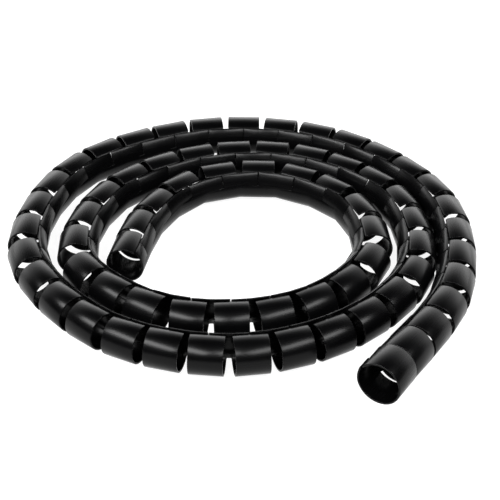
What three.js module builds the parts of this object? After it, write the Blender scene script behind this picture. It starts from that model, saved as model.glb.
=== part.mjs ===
// Slit plastic tube for bundling cables, laid flat in a loose coil. One moulded piece.
// Units are millimetres and +Z is up. The tube lies on z = 0, round the origin.
//
// The tube's wall is cut all along into two rows of stiff strips. Outer bands cover the side
// that faces out of the coil, the top and the underside. Inner fingers cover the side that
// faces the coil's middle. The rows meet at an open seam over the top, where a cable is laid
// in. Between them, on the inner side, an uncut spine joins them all. A bend opens the slots
// between the bands. The outer end has been sprung open and is a little wider than the rest.

import * as THREE from 'three';

// Tube section
const tubeDiameter = 22;
const wall = 1.0;
const seamGap = 0.5;
const fingerLift = 1.2;

// Cuts, measured along the neutral line
const cutPitch = 21;
const slotWidth = 2.0;
const slitWidth = 0.5;

// Angles round the section in degrees: 0 faces out of the coil, 90 up, 180 inward, 270 down.
// A bend keeps the length of the line at the neutral angle.
const slitEndAngle = 168;
const neutralAngle = 204;
const slotEndAngle = 225;
const downAngle = 270;
const floorFlatAngle = 30;

// The seam leans inward at the coil's far side and comes upright at its near side
const seamMeanAngle = 121;
const seamSwingAngle = 7;
const seamLeanAngle = 120;

// The first stretch at the outer end is loose: twisted further inward and sprung open
const endTwistAngle = 38;
const endFlare = 2.1;
const looseEndLength = 130;

// Route of the tube's axis, seen from above and travelled anticlockwise from the outer end.
// Each radius is in tube diameters from the coil's middle, one route step after the last.
const routeStartAngle = -60.5;
const routeStepAngle = 40.7;
const routeRadii = [
  6.58, 5.66, 5.57, 5.37, 5.32, 5.59, 5.53, 4.93, 4.54, 4.38, 4.57, 4.52, 4.19,
  4.01, 4.12, 4.24, 3.60, 3.14, 3.15, 3.40, 3.35, 3.17, 2.95, 2.70, 3.12,
];

// Flat facets of each strip between the spine and the seam
const bandFacets = 7;
const fingerFacets = 4;

const plastic = new THREE.MeshStandardMaterial({
  name: 'black_plastic',
  color: 0x0c0c0d,
  roughness: 0.38,
  metalness: 0,
});

const { degToRad, radToDeg } = THREE.MathUtils;

const tubeRadius = tubeDiameter / 2;
const bandEdge = (cutPitch - slotWidth) / 2;
const fingerEdge = (cutPitch - slitWidth) / 2;
const slitEdge = slitWidth / 2;
const neutralOffset = tubeRadius * Math.cos(degToRad(neutralAngle));
const spineMiddleAngle = (slitEndAngle + slotEndAngle) / 2;
const seamHalfAngle = radToDeg(seamGap / tubeDiameter);
const floorCornerAngle = floorFlatAngle / 2;

// The route and its frames

function routeCurve() {
  const points = routeRadii.map((diameters, i) => {
    const turn = degToRad(routeStartAngle + i * routeStepAngle);
    const reach = diameters * tubeDiameter;
    return new THREE.Vector3(reach * Math.cos(turn), reach * Math.sin(turn), tubeRadius);
  });
  return new THREE.CatmullRomCurve3(points, false, 'catmullrom', 0.5);
}

function frameAt(curve, t) {
  const centre = curve.getPoint(t);
  const along = curve.getTangent(t);
  const outward = new THREE.Vector3(along.y, -along.x, 0);
  const turn = radToDeg(Math.atan2(centre.y, centre.x));
  return { centre, along, outward, turn, travelled: 0 };
}

// Frames at equal steps along the neutral line
function framesAlong(curve, step) {
  const samples = 6000;
  const frames = [frameAt(curve, 0)];
  let travelled = 0;
  let last = null;
  for (let i = 0; i <= samples; i += 1) {
    const frame = frameAt(curve, i / samples);
    const neutral = frame.centre.clone().addScaledVector(frame.outward, neutralOffset);
    travelled += last ? neutral.distanceTo(last) : 0;
    if (travelled >= frames.length * step) {
      frames.push({ ...frame, travelled });
    }
    last = neutral;
  }
  return frames;
}

// How loose the tube is at a frame: 1 at the outer end, falling to 0 where the end is settled
function looseness(frame) {
  return (1 - Math.min(frame.travelled / looseEndLength, 1)) ** 2;
}

// A sheet of triangles that is thickened into the tube's wall

const outerPoints = [];
const innerPoints = [];
const sheetTriangles = [];

function wallPoint(frame, offset, angle, radius) {
  const flare = endFlare * looseness(frame);
  const isFloorCorner = Math.abs(Math.abs(angle - downAngle) - floorCornerAngle) < 1e-6;
  const toCorner = isFloorCorner ? 1 / Math.cos(degToRad(floorCornerAngle)) : 1;
  const reach = (radius + flare) * toCorner;
  return frame.centre.clone()
    .addScaledVector(frame.along, offset)
    .addScaledVector(frame.outward, reach * Math.cos(degToRad(angle)))
    .add(new THREE.Vector3(0, 0, flare + reach * Math.sin(degToRad(angle))));
}

function addRow(frame, offsets, angle, lift) {
  return offsets.map((offset) => {
    outerPoints.push(wallPoint(frame, offset, angle, tubeRadius + lift));
    innerPoints.push(wallPoint(frame, offset, angle, tubeRadius + lift - wall));
    return outerPoints.length - 1;
  });
}

function fillBetween([lowerStart, lowerEnd], [upperStart, upperEnd]) {
  sheetTriangles.push([lowerStart, lowerEnd, upperEnd], [lowerStart, upperEnd, upperStart]);
}

function evenSteps(from, to, count) {
  return Array.from({ length: count + 1 }, (_, i) => from + (to - from) * i / count);
}

function seamAngle(frame) {
  const lean = seamSwingAngle * Math.cos(degToRad(frame.turn - seamLeanAngle));
  return seamMeanAngle + lean + endTwistAngle * looseness(frame);
}

// A band runs from the spine, under the tube and up its outer side to the seam
function addBand(frame) {
  const seam = 360 + seamAngle(frame) - seamHalfAngle;
  const floorStart = downAngle - floorCornerAngle;
  const floorEnd = downAngle + floorCornerAngle;
  const angles = [slotEndAngle, floorStart, ...evenSteps(floorEnd, seam, bandFacets - 2)];
  const rows = angles.map((angle) => addRow(frame, [-bandEdge, bandEdge], angle, 0));
  rows.slice(1).forEach((row, i) => fillBetween(rows[i], row));
  return rows[0];
}

// A finger stands from the spine up the inner side to the seam, and lifts towards its tip. Its
// root is level with the slits' ends and its foot with the middle of the spine.
function addFinger(frame, start, end) {
  const seam = seamAngle(frame) + seamHalfAngle;
  const rows = evenSteps(seam, slitEndAngle, fingerFacets).map((angle) => {
    const rise = (slitEndAngle - angle) / (slitEndAngle - seamMeanAngle);
    return addRow(frame, [start, end], angle, fingerLift * rise * rise);
  });
  const root = rows[fingerFacets];
  const foot = addRow(frame, [start, end], spineMiddleAngle, 0);
  rows.push(foot);
  rows.slice(1).forEach((row, i) => fillBetween(rows[i], row));
  return { root, foot };
}

// The spine's upper half closes the slits below the fingers' roots. Its lower half fills the
// strip between the fingers' feet and the bands' feet. Each foot is a start and an end.
function addSpine(fingers, bands) {
  fingers.slice(1).forEach(({ root, foot }, i) => {
    const back = fingers[i];
    fillBetween([back.root[1], root[0]], [back.foot[1], foot[0]]);
  });
  const first = fingers[0].foot;
  sheetTriangles.push([first[0], first[1], bands[0][0]]);
  bands.forEach((band, i) => {
    const before = fingers[i].foot;
    const after = fingers[i + 1].foot;
    sheetTriangles.push([before[1], after[0], band[0]], [after[0], band[1], band[0]]);
    const next = bands[i + 1];
    if (next) {
      sheetTriangles.push([after[0], next[0], band[1]], [after[0], after[1], next[0]]);
    } else {
      sheetTriangles.push([after[0], after[1], band[1]]);
    }
  });
}

function thickened() {
  const count = outerPoints.length;
  const triangles = [];
  const edges = new Map();
  for (const [a, b, c] of sheetTriangles) {
    triangles.push([a, b, c], [c + count, b + count, a + count]);
    for (const [from, to] of [[a, b], [b, c], [c, a]]) {
      edges.set(`${from},${to}`, [from, to]);
    }
  }
  for (const [from, to] of edges.values()) {
    if (!edges.has(`${to},${from}`)) {
      triangles.push([to, from, from + count], [to, from + count, to + count]);
    }
  }
  const geometry = new THREE.BufferGeometry();
  geometry.setFromPoints([...outerPoints, ...innerPoints]);
  geometry.setIndex(triangles.flat());
  return geometry;
}

// Bands sit at the odd half pitches and fingers between them. Each end of the tube is cut
// square, through the middle of a finger.
function tubeGeometry() {
  const frames = framesAlong(routeCurve(), cutPitch / 2);
  const bandFrames = frames.filter((_, i) => i % 2 === 1);
  const lastFrame = bandFrames[bandFrames.length - 1];
  const bands = bandFrames.map(addBand);
  const fingers = [
    addFinger(bandFrames[0], -bandEdge, -slitEdge),
    ...bandFrames.slice(1).map((_, i) => addFinger(frames[2 * i + 2], -fingerEdge, fingerEdge)),
    addFinger(lastFrame, slitEdge, bandEdge),
  ];
  addSpine(fingers, bands);

  const geometry = thickened();
  geometry.computeBoundingBox();
  const middle = geometry.boundingBox.getCenter(new THREE.Vector3());
  geometry.translate(-middle.x, -middle.y, -geometry.boundingBox.min.z);
  geometry.computeVertexNormals();
  return geometry;
}

const wrap = new THREE.Mesh(tubeGeometry(), plastic);
wrap.name = 'spiral_wrap';

const group = new THREE.Group();
group.add(wrap);

export default group;
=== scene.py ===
# %% [markdown]
# # A slit cable wrap in a loose coil
#
# The object is a black plastic tube, 22 mm across and about 1.5 m long, that is slipped over a
# bundle of cables. Its wall is cut all along, so that it bends and so that a cable can leave it
# anywhere. This lesson makes the tube the way a press could: as one flat strip with its cuts,
# rounded corners and edges, which is then rolled up round the cables' path.
#
# Three ideas carry the whole build:
#
# 1. One period of the cut pattern is drawn once and repeated.
# 2. The strip's length is laid along one line in its uncut spine, which runs beside the path.
# 3. The outer bands stay stiff, the inner fingers give a little, and the spine bends.

import math

import bmesh
import bpy
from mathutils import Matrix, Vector


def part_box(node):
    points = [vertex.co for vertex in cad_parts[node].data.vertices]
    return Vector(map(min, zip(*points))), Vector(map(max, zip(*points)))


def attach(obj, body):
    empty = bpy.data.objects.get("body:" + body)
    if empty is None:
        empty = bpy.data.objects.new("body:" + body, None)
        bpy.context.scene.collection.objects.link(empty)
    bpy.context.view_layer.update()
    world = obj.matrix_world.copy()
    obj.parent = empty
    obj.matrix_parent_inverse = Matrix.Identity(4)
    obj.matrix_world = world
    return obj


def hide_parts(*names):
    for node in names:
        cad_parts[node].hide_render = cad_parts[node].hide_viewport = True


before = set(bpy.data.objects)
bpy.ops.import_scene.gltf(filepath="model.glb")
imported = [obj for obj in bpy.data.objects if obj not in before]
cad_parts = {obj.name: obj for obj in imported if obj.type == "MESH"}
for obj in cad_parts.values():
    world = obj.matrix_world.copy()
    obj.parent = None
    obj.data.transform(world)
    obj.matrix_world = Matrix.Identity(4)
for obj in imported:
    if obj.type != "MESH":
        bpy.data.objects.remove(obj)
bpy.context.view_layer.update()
cad_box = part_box("spiral_wrap")
print("CAD box in mm:", [[round(v * 1000, 1) for v in corner] for corner in cad_box])

# %% [markdown]
# ## The sizes
#
# Everything is in metres and radians. The names match the CAD part, because the looks have to
# fit round the same solid. Only the fine slits and the seam's gap are narrower here: the
# fingers follow the bend, so they keep clear of each other with less room, and the seam is
# nearly shut.
#
# Angles go round the tube's section: 0 faces out of the coil, a quarter turn is the top, and
# half a turn faces the coil's middle.

# %% Sizes of the tube and its cuts
MM = 0.001
tube_radius = 11 * MM
wall = 1.0 * MM
cut_pitch = 21 * MM
slot_width = 2.0 * MM
slit_width = 0.25 * MM
period_count = 69

seam_gap = 0.1 * MM
seam_mean = math.radians(121)
seam_swing = math.radians(7)
seam_lean = math.radians(120)
slit_end = math.radians(168)
slot_end = math.radians(225)
neutral_angle = math.radians(204)

end_twist = math.radians(38)
end_flare = 2.1 * MM
loose_end_length = 130 * MM
finger_lift = 1.2 * MM

# How stiff the fingers are, from 0 for one that bends with the spine to 1 for a rigid one
finger_stiffness = 0.25
# How far a strip's tip may stand off its place, and how far it may lean
tip_play = 0.35 * MM
tip_tilt = math.radians(1.2)
play_seed = 7

seam_half_gap = seam_gap / (2 * tube_radius)
neutral_reach = -tube_radius * math.cos(neutral_angle)
print("strip is", round(2 * math.pi * tube_radius / MM, 1), "mm wide and",
      round(period_count * cut_pitch, 3), "m long")

# %% [markdown]
# ## The path
#
# The coil lies flat, so its path is a plane curve. A radius is stated every 40.7 degrees, and
# the curve through those points is the same kind that the CAD part uses, a uniform Catmull-Rom
# spline. Each stretch between two points depends on four of them, and the ends are given one
# mirrored point each.
#
# The radii are in tube diameters. They fall from six and a half to three as the path winds in.

# %% Points on the tube's axis
route_start = math.radians(-60.5)
route_step = math.radians(40.7)
route_radii = [
    6.58, 5.66, 5.57, 5.37, 5.32, 5.59, 5.53, 4.93, 4.54, 4.38, 4.57, 4.52, 4.19,
    4.01, 4.12, 4.24, 3.60, 3.14, 3.15, 3.40, 3.35, 3.17, 2.95, 2.70, 3.12,
]
samples_per_stretch = 120
# The CAD part is centred on its own box, which moves the path by this much
route_shift = Vector((-0.18 * MM, 2.12 * MM, 0))


def route_knot(i, diameters):
    turn = route_start + i * route_step
    return Vector((math.cos(turn), math.sin(turn), 0)) * diameters * 2 * tube_radius


def spline_point(a, b, c, d, t):
    return 0.5 * (2 * b + (c - a) * t + (2 * a - 5 * b + 4 * c - d) * t**2
                  + (3 * b - a - 3 * c + d) * t**3)


def axis_points():
    knots = [route_knot(i, diameters) for i, diameters in enumerate(route_radii)]
    knots = [2 * knots[0] - knots[1], *knots, 2 * knots[-1] - knots[-2]]
    points = [
        spline_point(a, b, c, d, i / samples_per_stretch)
        for a, b, c, d in zip(knots, knots[1:], knots[2:], knots[3:])
        for i in range(samples_per_stretch)
    ]
    points.append(knots[-2])
    lifted = route_shift + Vector((0, 0, tube_radius))
    return [p + lifted for p in points]


def length_of(points):
    return sum((b - a).length for a, b in zip(points, points[1:]))


axis = axis_points()
print("axis is", round(length_of(axis), 4), "m long in", len(axis), "points")

# %% [markdown]
# A tube in a bend is longer on its outer side than on its inner side. The spine is on the inner
# side, and since it is the only part that is never cut, a line along it keeps its length. So
# the strip's own length is laid along this neutral line, beside the axis.

# %% The neutral line, as a curve object
def neutral_points(points):
    found = []
    for i, point in enumerate(points):
        along = points[min(i + 1, len(points) - 1)] - points[max(i - 1, 0)]
        outward = Vector((along.y, -along.x, 0)).normalized()
        found.append(point - outward * neutral_reach)
    return found


neutral = neutral_points(axis)
neutral_curve = bpy.data.curves.new("neutral_line", "CURVE")
neutral_curve.dimensions = "3D"
line = neutral_curve.splines.new("POLY")
line.points.add(len(neutral) - 1)
for corner, point in zip(line.points, neutral):
    corner.co = (*point, 1)
neutral_object = bpy.data.objects.new("neutral_line", neutral_curve)
bpy.context.collection.objects.link(neutral_object)
print("neutral line is", round(length_of(neutral), 4), "m long, for",
      round(length_of(neutral) / cut_pitch, 2), "periods")

# %% [markdown]
# ## The flat strip
#
# Unrolled, the wall is a long comb with teeth on both sides of an uncut spine. The teeth on one
# side are the outer bands, which reach down, under and up the far side to the seam. The teeth
# on the other side are the inner fingers, half a pitch along, with fine slits between them.
#
# Three periods are drawn as one outline: a start with its square end, a middle that can be
# repeated, and a finish. x runs along the tube, y is the section angle times the radius.

# %% Outline of three periods with rounded corners
def at(angle):
    return angle * tube_radius


finger_tip = at(seam_mean + seam_half_gap)
band_tip = at(seam_mean + 2 * math.pi - seam_half_gap)
half_slot = slot_width / 2
half_slit = slit_width / 2
drawn_periods = 3
strip_end = drawn_periods * cut_pitch - half_slot
finger_corner, band_corner, end_corner = 0.9 * MM, 1.0 * MM, 0.7 * MM
slit_corner, slot_corner = 0.2 * MM, 0.5 * MM

outline = [(half_slot, finger_tip, end_corner)]
for k in range(drawn_periods):
    middle = (k + 0.5) * cut_pitch
    outline += [(middle - half_slit, finger_tip, finger_corner),
                (middle - half_slit, at(slit_end), slit_corner),
                (middle + half_slit, at(slit_end), slit_corner),
                (middle + half_slit, finger_tip, finger_corner)]
outline += [(strip_end, finger_tip, end_corner), (strip_end, band_tip, end_corner)]
for k in range(drawn_periods - 1, 0, -1):
    outline += [(k * cut_pitch + half_slot, band_tip, band_corner),
                (k * cut_pitch + half_slot, at(slot_end), slot_corner),
                (k * cut_pitch - half_slot, at(slot_end), slot_corner),
                (k * cut_pitch - half_slot, band_tip, band_corner)]
outline.append((half_slot, band_tip, end_corner))


def rounded(corners, steps=4):
    found = []
    for i, (x, y, radius) in enumerate(corners):
        here = Vector((x, y))
        back = (Vector(corners[i - 1][:2]) - here).normalized()
        ahead = (Vector(corners[(i + 1) % len(corners)][:2]) - here).normalized()
        centre = here + (back + ahead) * radius
        for k in range(steps + 1):
            share = k / steps * math.pi / 2
            to_arc = ahead * math.cos(share) + back * math.sin(share)
            found.append(centre - to_arc * radius)
    return found


outline_points = rounded(outline)
print(len(outline), "corners became", len(outline_points), "points")

# %% [markdown]
# The outline becomes a plate 1 mm thick. A ring just inside the edge keeps the broad faces
# smooth when the edge is softened, and the softened edge is what catches the light along every
# cut. Last the plate is sliced across, so that it can be rolled into a round section.

# %% Plate with soft edges
ring_width = 0.5 * MM
edge_softness = 0.2 * MM
sharp_angle = 1.0

plate = bmesh.new()
core = plate.faces.layers.int.new("core")
face = plate.faces.new([plate.verts.new((p.x, p.y, 0)) for p in outline_points])
bmesh.ops.inset_region(plate, faces=[face], thickness=ring_width, use_even_offset=True)
face[core] = 1
under = bmesh.ops.duplicate(plate, geom=plate.verts[:] + plate.edges[:] + plate.faces[:])
under_verts = [g for g in under["geom"] if isinstance(g, bmesh.types.BMVert)]
under_faces = [g for g in under["geom"] if isinstance(g, bmesh.types.BMFace)]
bmesh.ops.translate(plate, verts=under_verts, vec=(0, 0, -wall))
bmesh.ops.reverse_faces(plate, faces=under_faces)
open_edges = [e for e in plate.edges if e.is_boundary]
bmesh.ops.bridge_loops(plate, edges=open_edges)
bmesh.ops.recalc_face_normals(plate, faces=plate.faces[:])
sharp = [e for e in plate.edges if e.is_manifold and e.calc_face_angle() > sharp_angle]
bmesh.ops.bevel(plate, geom=sharp, offset=edge_softness, segments=2, profile=0.5,
                affect="EDGES")
print("plate has", len(plate.faces), "faces,", len(sharp), "edges softened")

# %% Slices across the plate
slice_angle = math.radians(9)
slice_count = int((band_tip - finger_tip) / at(slice_angle))


def cut_plate(point, normal):
    bmesh.ops.bisect_plane(plate, geom=plate.verts[:] + plate.edges[:] + plate.faces[:],
                           dist=1e-7, plane_co=point, plane_no=normal)


for k in range(1, slice_count + 1):
    cut_plate((0, finger_tip + k * at(slice_angle), 0), (0, 1, 0))
for k in range(1, drawn_periods):
    cut_plate((k * cut_pitch, 0, 0), (1, 0, 0))

# How close each point is to a cut: 1 on the edge, 0 inside the ring
rim = plate.verts.layers.float.new("rim")
core = plate.faces.layers.int["core"]
for vert in plate.verts:
    vert[rim] = 0.0 if any(f[core] for f in vert.link_faces) else 1.0
strip_mesh = bpy.data.meshes.new("strip")
plate.to_mesh(strip_mesh)
plate.free()
strip = bpy.data.objects.new("strip", strip_mesh)
bpy.context.collection.objects.link(strip)
print("three periods:", len(strip_mesh.vertices), "points,",
      len(strip_mesh.polygons), "faces")

# %% [markdown]
# ## A small language for node trees
#
# Node trees are easier to read as sums. `Wire` stands for one output of a node, and Python's
# own operators on it add Math nodes. Every other node is added by the one method
# `Graph.node`, which takes the node's type, its inputs and its settings.

# %% Wires and graphs
class Wire:
    """One output of a node, for use in sums and as an input of other nodes."""

    def __init__(self, graph, socket):
        self.graph, self.socket = graph, socket

    def math(self, operation, *others):
        return self.graph.math(operation, self, *others)

    def __add__(self, other):
        return self.math("ADD", other)

    def __sub__(self, other):
        return self.math("SUBTRACT", other)

    def __mul__(self, other):
        return self.math("MULTIPLY", other)

    def __truediv__(self, other):
        return self.math("DIVIDE", other)

    def __rsub__(self, other):
        return self.graph.math("SUBTRACT", other, self)

    def __rtruediv__(self, other):
        return self.graph.math("DIVIDE", other, self)

    __radd__, __rmul__ = __add__, __mul__


class Graph:
    """Adds nodes to one tree and links them."""

    def __init__(self, tree):
        self.tree = tree

    def node(self, kind, inputs=(), output=0, **settings):
        made = self.tree.nodes.new(kind)
        for name, value in settings.items():
            setattr(made, name, value)
        for name, value in dict(inputs).items():
            socket = made.inputs[name]
            for item in value if isinstance(value, list) else [value]:
                if isinstance(item, Wire):
                    self.tree.links.new(item.socket, socket)
                else:
                    socket.default_value = item
        return Wire(self, made.outputs[output])

    def other(self, wire, output):
        """Another output of the node that a wire comes from."""
        return Wire(self, wire.socket.node.outputs[output])

    def math(self, operation, *values):
        return self.node("ShaderNodeMath", dict(enumerate(values)), operation=operation)

    def vector(self, operation, *values):
        return self.node("ShaderNodeVectorMath", dict(enumerate(values)), operation=operation)

    def ramp(self, value, low, high, kind="SMOOTHSTEP"):
        """0 where the value is low, 1 where it is high, and eased between the two."""
        inputs = {"Value": value, "From Min": low, "From Max": high}
        return self.node("ShaderNodeMapRange", inputs, interpolation_type=kind)

    def axes(self, vector):
        x = self.node("ShaderNodeSeparateXYZ", {0: vector})
        return x, self.other(x, 1), self.other(x, 2)


print("operators and node method ready")

# %% [markdown]
# ## The material
#
# Moulded black plastic with a satin skin. Its colour hardly changes, so its look comes from
# what it mirrors and how softly. Broad clouds and faint streaks along the strip change the
# softness a little, a fine grain gives the skin some relief, and the cut edges are slightly
# paler and duller. The strip's flat coordinates are the streaks' map, so they follow every
# bend.
#
# Both the colour and the specular level are low. The lamps are strong, so that their mirror
# images show as streaks, and the floor is white.

# %% Black satin plastic
MIX_FACTOR, MIX_FIRST, MIX_SECOND, MIX_RESULT = 0, 6, 7, 2
skin_colour = (0.0002, 0.0002, 0.00025, 1)
edge_colour = (0.003, 0.003, 0.0034, 1)
cloud_scale, grain_scale, streak_scale = 24.0, 900.0, 3.0
streak_stretch = (0.3, 12.0, 1.0)
mean_roughness = 0.27
specular_level = 0.11

plastic = bpy.data.materials.new("black_plastic")
plastic.use_nodes = True
shading = Graph(plastic.node_tree)
surface = plastic.node_tree.nodes["Principled BSDF"]

place = shading.node("ShaderNodeTexCoord", output="Object")
flat = shading.node("ShaderNodeUVMap", uv_map="strip_uv")
edge = shading.node("ShaderNodeAttribute", attribute_name="rim", output="Fac")


def noise(at_point, scale, detail):
    return shading.node("ShaderNodeTexNoise",
                        {"Vector": at_point, "Scale": scale, "Detail": detail})


clouds = noise(place, cloud_scale, 3.0)
grain = noise(place, grain_scale, 2.0)
streaks = noise(shading.vector("MULTIPLY", flat, streak_stretch), streak_scale, 2.0)

roughness = mean_roughness + 0.08 * (clouds - 0.5) + 0.03 * (streaks - 0.5) + 0.06 * edge
colour = shading.node("ShaderNodeMix",
                      {MIX_FIRST: skin_colour, MIX_SECOND: edge_colour,
                       MIX_FACTOR: 0.5 * edge + 0.2 * clouds},
                      MIX_RESULT, data_type="RGBA")
bump = shading.node("ShaderNodeBump", {"Height": grain, "Strength": 0.03, "Distance": 0.0004})
for name, wire in (("Base Color", colour), ("Roughness", roughness), ("Normal", bump)):
    plastic.node_tree.links.new(wire.socket, surface.inputs[name])
surface.inputs["IOR"].default_value = 1.5
surface.inputs["Specular IOR Level"].default_value = specular_level
print("material has", len(plastic.node_tree.nodes), "nodes")

# %% [markdown]
# ## Repeat and roll the strip
#
# The tree does two jobs. First it splits the drawn strip, repeats the middle period as
# instances along a line, and joins all into one long comb. Then one Set Position rolls it up:
#
# - A point's y, divided by the tube's radius, is its angle round the section.
# - Its x, the distance along the strip, says where on the neutral line it sits. A whole band takes
#   one place, its middle, and so stays stiff. The spine takes each point's own x, and so it
#   bends. A finger lies between the two. The change is eased over the strips' first
#   millimetres.
# - The seam isn't at the same angle everywhere. It leans in at the coil's far side, and the
#   teeth on both sides of it stretch or shorten to meet it.
# - The outer end is loose: twisted further inward and a little wider.
# - Each tooth gets a little play of its own, as no two stand quite alike.

# %% Named inputs of the tree
rolling = bpy.data.node_groups.new("roll_slit_tube", "GeometryNodeTree")
inputs = {
    "Strip": ("NodeSocketGeometry", None),
    "Neutral line": ("NodeSocketObject", neutral_object),
    "Periods": ("NodeSocketInt", period_count),
    "Cut pitch": ("NodeSocketFloat", cut_pitch),
    "Tube radius": ("NodeSocketFloat", tube_radius),
    "Slit end": ("NodeSocketFloat", slit_end),
    "Slot end": ("NodeSocketFloat", slot_end),
    "Neutral reach": ("NodeSocketFloat", neutral_reach),
    "Seam mean": ("NodeSocketFloat", seam_mean),
    "Seam swing": ("NodeSocketFloat", seam_swing),
    "Seam lean": ("NodeSocketFloat", seam_lean),
    "End twist": ("NodeSocketFloat", end_twist),
    "End flare": ("NodeSocketFloat", end_flare),
    "Loose end length": ("NodeSocketFloat", loose_end_length),
    "Finger lift": ("NodeSocketFloat", finger_lift),
    "Finger stiffness": ("NodeSocketFloat", finger_stiffness),
    "Play": ("NodeSocketFloat", tip_play),
    "Tilt": ("NodeSocketFloat", tip_tilt),
    "Seed": ("NodeSocketInt", play_seed),
    "Material": ("NodeSocketMaterial", plastic),
}
for name, (kind, _) in inputs.items():
    rolling.interface.new_socket(name, in_out="INPUT", socket_type=kind)
rolling.interface.new_socket("Tube", in_out="OUTPUT", socket_type="NodeSocketGeometry")
roll = Graph(rolling)
entry = rolling.nodes.new("NodeGroupInput")


def given(name):
    return Wire(roll, entry.outputs[name])


print("tree takes", ", ".join(inputs))

# %% Repeat the middle period
weld_reach = 0.01 * MM
pitch, periods = given("Cut pitch"), given("Periods")


def vector_of(x=0.0, y=0.0, z=0.0):
    return roll.node("ShaderNodeCombineXYZ", {0: x, 1: y, 2: z})


def faces_before(strip_part, limit):
    return roll.node("GeometryNodeSeparateGeometry",
                     {"Geometry": strip_part, "Selection": x.math("LESS_THAN", limit)},
                     domain="FACE")


x, y, depth = roll.axes(roll.node("GeometryNodeInputPosition"))
start = faces_before(given("Strip"), pitch)
middle = faces_before(roll.other(start, 1), 2 * pitch)
places = roll.node("GeometryNodeMeshLine", {"Count": periods - 2, "Offset": vector_of(pitch)},
                   mode="OFFSET")
middles = roll.node("GeometryNodeInstanceOnPoints", {"Points": places, "Instance": middle})
finish = roll.node("GeometryNodeTransform",
                   {"Geometry": roll.other(middle, 1),
                    "Translation": vector_of((periods - drawn_periods) * pitch)})
joined = roll.node("GeometryNodeJoinGeometry", {"Geometry": [start, middles, finish]})
comb = roll.node("GeometryNodeRealizeInstances", {"Geometry": joined})
comb = roll.node("GeometryNodeMergeByDistance", {"Geometry": comb, "Distance": weld_reach})
comb = roll.node("GeometryNodeStoreNamedAttribute",
                 {"Geometry": comb, "Name": "strip_uv",
                  "Value": vector_of(x / pitch, y / pitch)},
                 data_type="FLOAT2", domain="CORNER")
print("comb of", period_count, "periods described")

# %% Where on the neutral line each point sits
ease_angle = math.radians(12)
radius = given("Tube radius")
slit_stop, slot_stop = given("Slit end"), given("Slot end")
seam_mid = given("Seam mean")
flat_angle = y / radius
root_angle = (slit_stop + slot_stop) / 2

# Which tooth a point is on, and how far it is from the spine towards the tooth
band_ease = roll.ramp(flat_angle, root_angle, slot_stop + ease_angle)
finger_ease = roll.ramp(flat_angle, root_angle, slit_stop - ease_angle)
band_place = ((x / pitch).math("FLOOR") + 0.5) * pitch
finger_place = (x / pitch + 0.5).math("FLOOR") * pitch
place_x = (x + band_ease * (band_place - x)
           + given("Finger stiffness") * finger_ease * (finger_place - x))

line_shape = roll.node("GeometryNodeObjectInfo", {"Object": given("Neutral line")}, "Geometry")
sample = roll.node("GeometryNodeSampleCurve", {"Curves": line_shape, "Length": place_x},
                   "Position", mode="LENGTH")
along = roll.other(sample, "Tangent")
outward = roll.vector("NORMALIZE", roll.vector("CROSS_PRODUCT", along, (0.0, 0.0, 1.0)))
print("places on the neutral line described")

# %% At which angle and distance from the axis
line_x, line_y, _ = roll.axes(sample)
turn = line_y.math("ARCTAN2", line_x)
settled = roll.ramp(place_x, 0.0, given("Loose end length"), "LINEAR")
loose = (1 - settled) * (1 - settled)
flare = given("End flare") * loose

# The seam's own angle here, and the two sets of teeth stretched to meet it
seam = (seam_mid + given("Seam swing") * (turn - given("Seam lean")).math("COSINE")
        + given("End twist") * loose)
finger_share = roll.ramp(flat_angle, slit_stop, seam_mid, "LINEAR")
band_share = roll.ramp(flat_angle, slot_stop, seam_mid + 2 * math.pi, "LINEAR")
kept = flat_angle.math("MAXIMUM", slit_stop).math("MINIMUM", slot_stop)
angle = (kept - finger_share * (slit_stop - seam)
         + band_share * (seam + 2 * math.pi - slot_stop))

# A little play for each tooth
is_band = flat_angle.math("GREATER_THAN", root_angle)
tooth = is_band * (band_place / pitch) * 2 + (1 - is_band) * (finger_place / pitch) * 2


def chance(shift):
    return roll.node("FunctionNodeRandomValue",
                     {2: -1.0, 3: 1.0, "ID": tooth, "Seed": given("Seed") + shift}, 1,
                     data_type="FLOAT")


tipness = finger_share * finger_share + band_share.math("POWER", 3.0)
rise = roll.ramp(angle, slit_stop, seam_mid, "LINEAR")
reach = (radius + depth + flare + given("Finger lift") * rise * rise
         + given("Play") * chance(0) * tipness)
side = x - place_x
height = reach * angle.math("SINE") + flare + given("Tilt") * chance(1) * tipness * side
width = reach * angle.math("COSINE") + given("Neutral reach")
print("rolling sums ready")

# %% Finish the tree and run it once
step_along = roll.vector("MULTIPLY", along, vector_of(side, side, side))
step_out = roll.vector("MULTIPLY", outward, vector_of(width, width, width))
placed = roll.vector("ADD", roll.vector("ADD", sample, step_along),
                     roll.vector("ADD", step_out, vector_of(0.0, 0.0, height)))
tube = roll.node("GeometryNodeSetPosition", {"Geometry": comb, "Position": placed})
tube = roll.node("GeometryNodeSetShadeSmooth", {"Geometry": tube})
tube = roll.node("GeometryNodeRealizeInstances", {"Geometry": tube})
tube = roll.node("GeometryNodeSetMaterial", {"Geometry": tube, "Material": given("Material")})
leave = rolling.nodes.new("NodeGroupOutput")
rolling.links.new(tube.socket, leave.inputs["Tube"])

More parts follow.
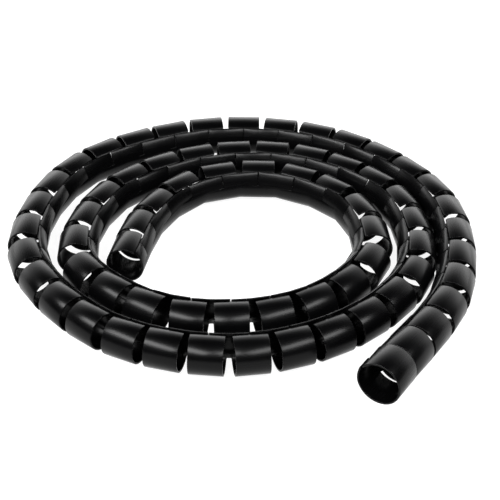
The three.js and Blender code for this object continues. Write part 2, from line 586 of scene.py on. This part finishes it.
modifier = strip.modifiers.new("roll", "NODES")
modifier.node_group = rolling
for item in rolling.interface.items_tree:
    if item.in_out == "INPUT" and inputs[item.name][1] is not None:
        modifier[item.identifier] = inputs[item.name][1]
bpy.context.view_layer.update()
graph = bpy.context.evaluated_depsgraph_get()
wrap_mesh = bpy.data.meshes.new_from_object(
    strip.evaluated_get(graph), preserve_all_data_layers=True, depsgraph=graph)
strip.modifiers.remove(modifier)
wrap_mesh.name = "cable_wrap"
wrap = bpy.data.objects.new("cable_wrap", wrap_mesh)
bpy.context.collection.objects.link(wrap)
for helper in (strip, neutral_object):
    bpy.data.objects.remove(helper)
wrap_mesh.calc_loop_triangles()
print("rolled tube:", len(wrap_mesh.vertices), "points,",
      len(wrap_mesh.loop_triangles), "triangles")

# %% [markdown]
# ## Join the frame
#
# The looks ride on the part's one body and stand for its one node. The start and the length of
# the tube's axis are also worked out, and a path along it of every eighth point.

# %% Tie the tube to the CAD part
cord_path = [tuple(p) for p in axis[::8]]
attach(wrap, "root")
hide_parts("spiral_wrap")
tuple(axis[0])
length_of(axis)
print("tied to the frame, with a path of", len(cord_path), "points")

# %% [markdown]
# ## Floor, light and camera
#
# A black shiny thing shows its surroundings more than itself, so the lights are placed for
# their reflections:
#
# - The sky behind the coil is bright near the horizon. It draws the thin bright line along the
#   top of the tube.
# - A long softbox on each side of the camera puts a streak on the bands that face it. Neither
#   reaches the middle, so the bands in front of the camera stay darker. The right one is
#   shorter and weaker, which keeps the open end quiet.
# - The floor glows, so that it shows as white, and lifts the lowest part of the tube. Its own
#   colour is a dark grey, which keeps the lamps from lighting it up much further.

# %% Pale floor
floor_half_side = 4
floor_drop = 0.2 * MM
floor_grey = 0.2
floor_glow = 0.9

floor_mesh = bpy.data.meshes.new("floor")
floor_mesh.from_pydata([(sx * floor_half_side, sy * floor_half_side, -floor_drop)
                        for sx, sy in ((-1, -1), (1, -1), (1, 1), (-1, 1))],
                       [], [(0, 1, 2, 3)])
floor = bpy.data.objects.new("floor", floor_mesh)
bpy.context.collection.objects.link(floor)
pale = bpy.data.materials.new("pale_floor")
pale.use_nodes = True
pale_surface = pale.node_tree.nodes["Principled BSDF"]
pale_surface.inputs["Base Color"].default_value = (floor_grey, floor_grey, floor_grey, 1)
pale_surface.inputs["Roughness"].default_value = 0.6
pale_surface.inputs["Emission Color"].default_value = (1, 1, 1, 1)
pale_surface.inputs["Emission Strength"].default_value = floor_glow
floor_mesh.materials.append(pale)
print("floor is", 2 * floor_half_side, "m wide")

# %% Softboxes
def softbox(name, place, length, height, watts):
    lamp = bpy.data.lights.new(name, "AREA")
    lamp.shape = "RECTANGLE"
    lamp.size, lamp.size_y, lamp.energy = length, height, watts
    holder = bpy.data.objects.new(name, lamp)
    bpy.context.collection.objects.link(holder)
    holder.location = place
    holder.rotation_euler = (-Vector(place)).to_track_quat("-Z", "Y").to_euler()


softbox("left", (-0.65, -0.55, 0.97), 1.4, 0.36, 42)
softbox("right", (0.57, -0.645, 0.97), 1.15, 0.36, 26)
print("softboxes:", ", ".join(lamp.name for lamp in bpy.data.lights))

# %% A bright band of sky behind, dark elsewhere
sky_light = 4.0
dark_light = 0.02

world = bpy.data.worlds.new("studio")
world.use_nodes = True
sky = Graph(world.node_tree)
backdrop = world.node_tree.nodes["Background"]
_, ahead, up = sky.axes(sky.node("ShaderNodeTexCoord", output="Generated"))
glow = sky_light * sky.ramp(ahead, 0.2, 0.7) * sky.ramp(up, 0.86, 0.2)
world.node_tree.links.new((dark_light + glow).socket, backdrop.inputs["Strength"])
backdrop.inputs["Color"].default_value = (1, 1, 1, 1)
bpy.context.scene.world = world
bpy.context.scene.view_settings.view_transform = "Standard"
print("sky has", len(world.node_tree.nodes), "nodes")

# %% Camera, from the photo's viewing angle
camera_elevation = math.radians(36)
camera_distance = 1.1544
image_side = 500
focal_length_px = 2020
target_px = (241.36, 245.56)

lens = bpy.data.cameras.new("camera")
lens.sensor_width = 36
lens.lens = lens.sensor_width * focal_length_px / image_side
lens.shift_x = (image_side / 2 - target_px[0]) / image_side
lens.shift_y = (target_px[1] - image_side / 2) / image_side
camera = bpy.data.objects.new("camera", lens)
bpy.context.collection.objects.link(camera)
target = route_shift + Vector((0, 0, tube_radius))
camera.location = target + camera_distance * Vector((0, -math.cos(camera_elevation),
                                                     math.sin(camera_elevation)))
camera.rotation_euler = (math.pi / 2 - camera_elevation, 0, 0)
bpy.context.scene.camera = camera
print("camera is", round(camera_distance, 3), "m away with a", round(lens.lens, 1), "mm lens")
